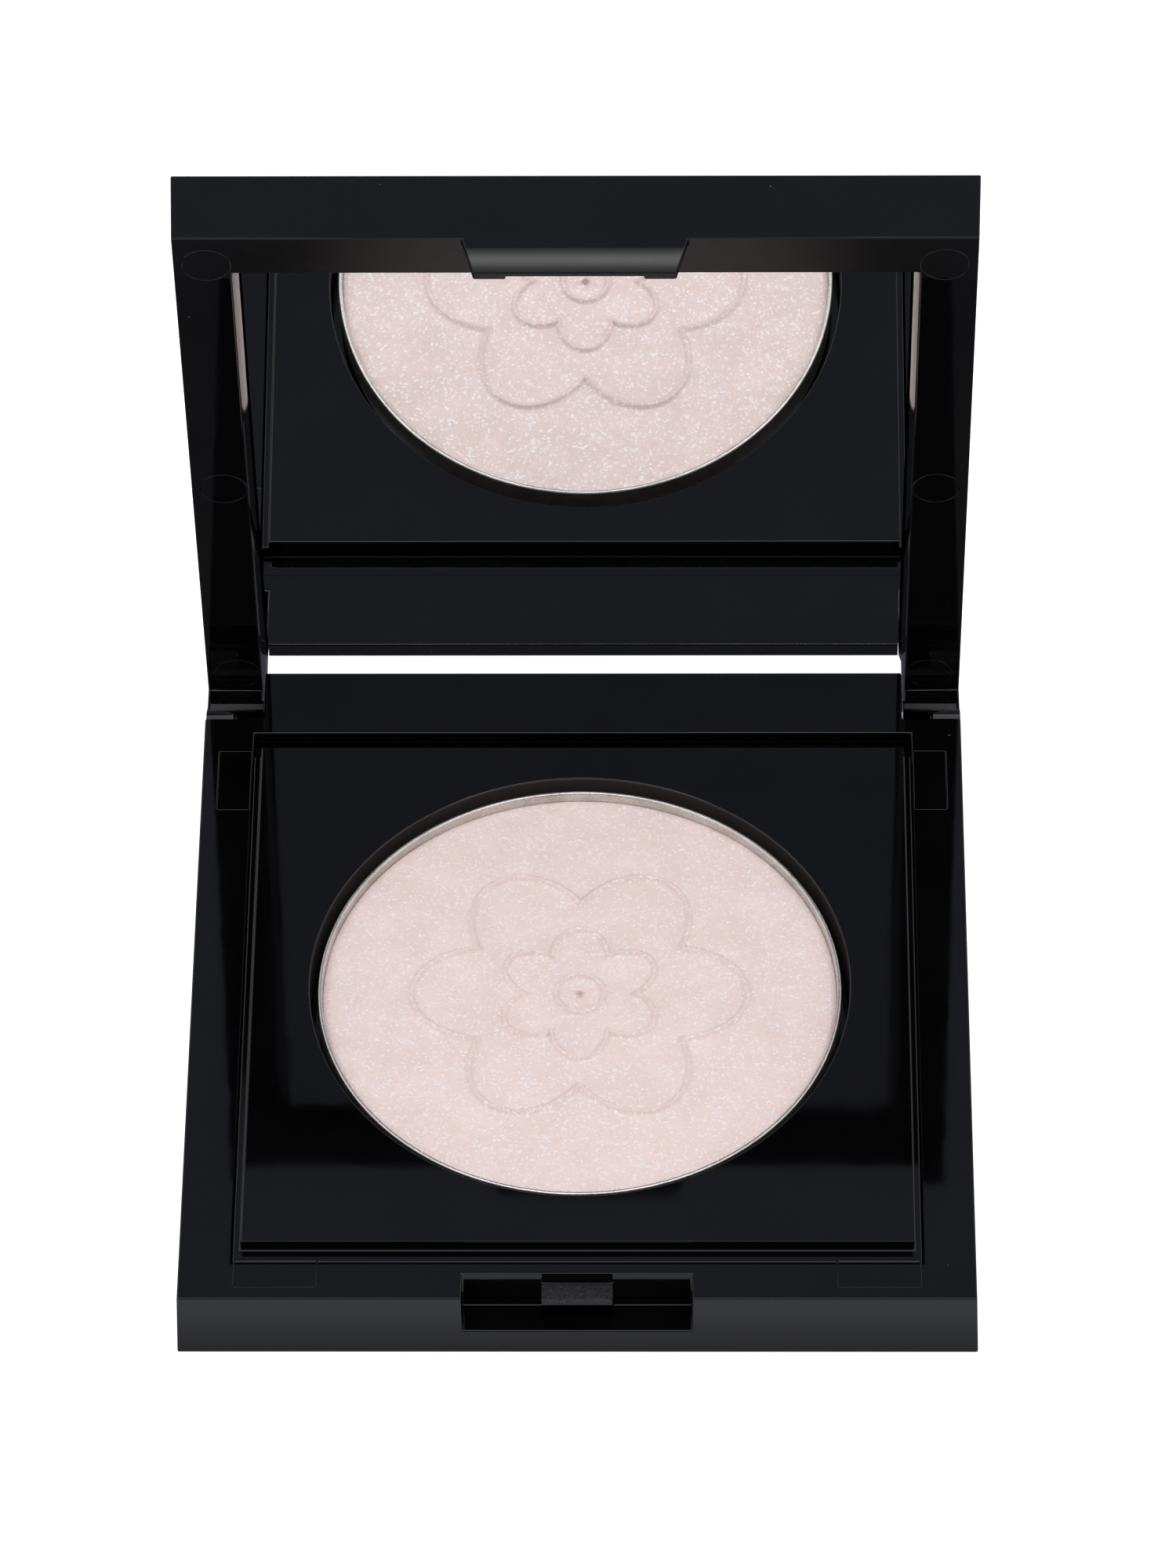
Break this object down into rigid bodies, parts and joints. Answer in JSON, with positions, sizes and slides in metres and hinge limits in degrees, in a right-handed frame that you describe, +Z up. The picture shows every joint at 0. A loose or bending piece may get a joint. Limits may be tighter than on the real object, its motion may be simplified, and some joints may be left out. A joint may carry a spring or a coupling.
{
  "type": "powder compact",
  "caption": "Square hinged compact with a mirrored lid, a snap latch and a round pan of pressed powder set in a raised deck.",
  "frame": {"origin": "centre of the flat underside of the base, midway between the front edge and the back of the hinge bar", "axes": "+X to the user's right, +Y from the latch towards the hinge, +Z up from the surface that the base stands on"},
  "size_m": [0.0554, 0.0634, 0.0584],
  "materials": {
    "shell_black": "piano-black polished moulding",
    "tray_black": "polished black moulding",
    "adhesive": "double-sided foam and film pads",
    "pan_metal": "pressed aluminium, satin",
    "pressed_powder": "pressed pearl powder, pale pink beige",
    "label_paper": "blank matt black label",
    "mirror": "silvered glass",
    "pin_steel": "ground steel wire"
  },
  "bodies": {
    "base": {"base_shell": "shell_black", "pan_tray": "tray_black", "pan_adhesive": "adhesive", "powder_pan": "pan_metal", "powder_cake": "pressed_powder", "base_label": "label_paper"},
    "lid": {"lid_shell": "shell_black", "mirror_adhesive": "adhesive", "mirror_glass": "mirror", "hinge_pin_left": "pin_steel", "hinge_pin_right": "pin_steel"}
  },
  "joints": [
    {"name": "lid_hinge", "type": "hinge", "parent": "base", "child": "lid", "pos_m": [0, 0.0259, 0.00295], "axis": [1, 0, 0], "range_deg": [-7, 83]}
  ]
}
